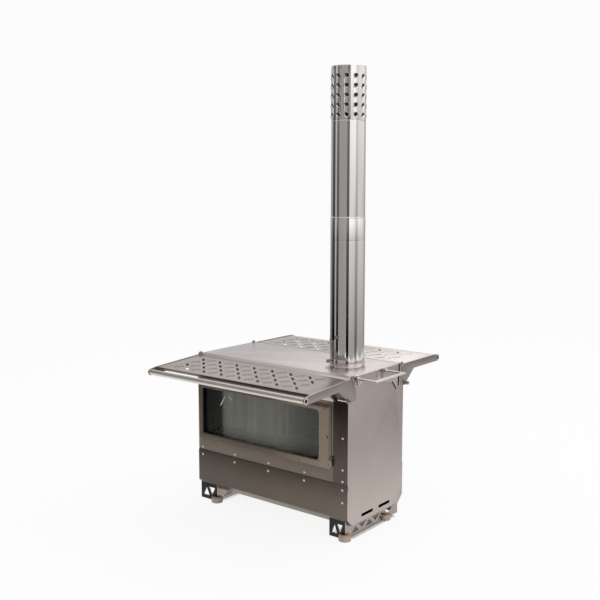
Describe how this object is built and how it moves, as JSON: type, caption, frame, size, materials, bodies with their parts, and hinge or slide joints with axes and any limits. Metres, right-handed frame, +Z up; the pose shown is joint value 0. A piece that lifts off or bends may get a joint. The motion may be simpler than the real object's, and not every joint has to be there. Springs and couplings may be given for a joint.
{
  "type": "tent wood stove",
  "caption": "Box wood stove on truss legs with a side window, folding slotted shelves, an end door with ash drawer below, and a stacked flue with damper and perforated spark arrestor.",
  "frame": {"origin": "on the floor, under the middle of the body and of the whole stove's box", "axes": "+Z up; +X along the window side towards the flue end; +Y from the window face to the back, so the window looks out along -Y"},
  "size_m": [0.57, 0.5432, 1.037],
  "materials": {
    "satin_steel": "satin stainless sheet",
    "end_steel": "satin stainless sheet, warm grey",
    "casing_steel": "satin stainless sheet, dark",
    "firebox_steel": "mill-finish sheet, slightly sooted",
    "leg_steel": "satin stainless sheet",
    "flue_steel": "mirror-polished stainless tube",
    "black_fittings": "black heat-proof paint, satin",
    "stove_glass": "clear fire glass, slightly smoked",
    "gasket_rope": "woven glass-fibre rope",
    "foot_pad": "matte tan silicone rubber",
    "grip_wood": "oiled hardwood"
  },
  "bodies": {
    "stove": {"cooktop": "satin_steel", "front_panel": "casing_steel", "back_panel": "casing_steel", "right_end_panel": "end_steel", "left_end_panel": "end_steel", "lower_casing": "casing_steel", "window_frame": "end_steel", "window_glass": "stove_glass", "window_gasket": "gasket_rope", "glass_clips": "firebox_steel", "frame_screws": "satin_steel", "frame_catch": "satin_steel", "body_rivets": "satin_steel", "cover_keepers": "satin_steel", "shelf_pivots": "black_fittings", "leg_frame_left": "leg_steel", "leg_frame_right": "leg_steel", "foot_pads": "foot_pad", "flue_collar": "flue_steel", "handle_lugs": "satin_steel", "handle_pins": "satin_steel", "fire_grate": "firebox_steel", "grate_ledges": "firebox_steel", "baffle_plate": "firebox_steel", "baffle_ledges": "firebox_steel", "drawer_runners": "firebox_steel", "hinge_lugs": "end_steel", "hinge_rod": "satin_steel", "latch_keeper": "end_steel"},
    "front_shelf": {"front_shelf_plate": "satin_steel", "front_bracket_left": "end_steel", "front_bracket_right": "end_steel", "front_rail": "satin_steel", "front_stop_pins": "satin_steel", "front_pin_caps": "black_fittings"},
    "back_shelf": {"back_shelf_plate": "satin_steel", "back_bracket_left": "end_steel", "back_bracket_right": "end_steel", "back_rail": "satin_steel", "back_stop_pins": "satin_steel", "back_pin_caps": "black_fittings"},
    "flue_lower": {"pipe_lower": "flue_steel", "pipe_clamp": "flue_steel", "clamp_bolt": "black_fittings"},
    "damper": {"damper_plate": "black_fittings", "damper_spindle": "black_fittings"},
    "flue_upper": {"pipe_upper": "flue_steel"},
    "arrestor": {"spark_arrestor": "flue_steel", "arrestor_cap": "flue_steel"},
    "handle": {"carry_handle": "satin_steel"},
    "door": {"door_pan": "end_steel", "door_gasket": "gasket_rope", "door_knuckles": "end_steel", "slider_guides": "end_steel"},
    "latch": {"latch_lever": "end_steel", "latch_grip": "grip_wood"},
    "slider": {"air_slider": "satin_steel"},
    "ash_tray": {"ash_drawer": "firebox_steel", "drawer_front": "end_steel", "drawer_pull": "end_steel"}
  },
  "joints": [
    {"name": "front_shelf_fold", "type": "hinge", "parent": "stove", "child": "front_shelf", "pos_m": [0, -0.099, 0.365], "axis": [-1, 0, 0], "range_deg": [0, 112]},
    {"name": "back_shelf_fold", "type": "hinge", "parent": "stove", "child": "back_shelf", "pos_m": [0, 0.099, 0.365], "axis": [1, 0, 0], "range_deg": [0, 109]},
    {"name": "pipe_lower_lift", "type": "slide", "parent": "stove", "child": "flue_lower", "axis": [0, 0, 1], "range_m": [0, 0.034]},
    {"name": "damper_turn", "type": "hinge", "parent": "flue_lower", "child": "damper", "pos_m": [0.143, 0, 0.438], "axis": [0, -1, 0], "range_deg": [0, 90]},
    {"name": "pipe_upper_lift", "type": "slide", "parent": "flue_lower", "child": "flue_upper", "axis": [0, 0, 1], "range_m": [0, 0.066]},
    {"name": "arrestor_lift", "type": "slide", "parent": "flue_upper", "child": "arrestor", "axis": [0, 0, 1], "range_m": [0, 0.029]},
    {"name": "carry_handle_fold", "type": "hinge", "parent": "stove", "child": "handle", "pos_m": [0.234, 0, 0.363], "axis": [0, 1, 0], "range_deg": [0, 90]},
    {"name": "door_swing", "type": "hinge", "parent": "stove", "child": "door", "pos_m": [-0.234, -0.091, 0.247], "axis": [0, 0, 1], "range_deg": [0, 110]},
    {"name": "latch_turn", "type": "hinge", "parent": "door", "child": "latch", "pos_m": [-0.238, 0.07, 0.2], "axis": [-1, 0, 0], "range_deg": [0, 90]},
    {"name": "air_slide", "type": "slide", "parent": "door", "child": "slider", "axis": [0, 0, -1], "range_m": [0, 0.026]},
    {"name": "ash_drawer_slide", "type": "slide", "parent": "stove", "child": "ash_tray", "axis": [-1, 0, 0], "range_m": [0, 0.3]}
  ]
}
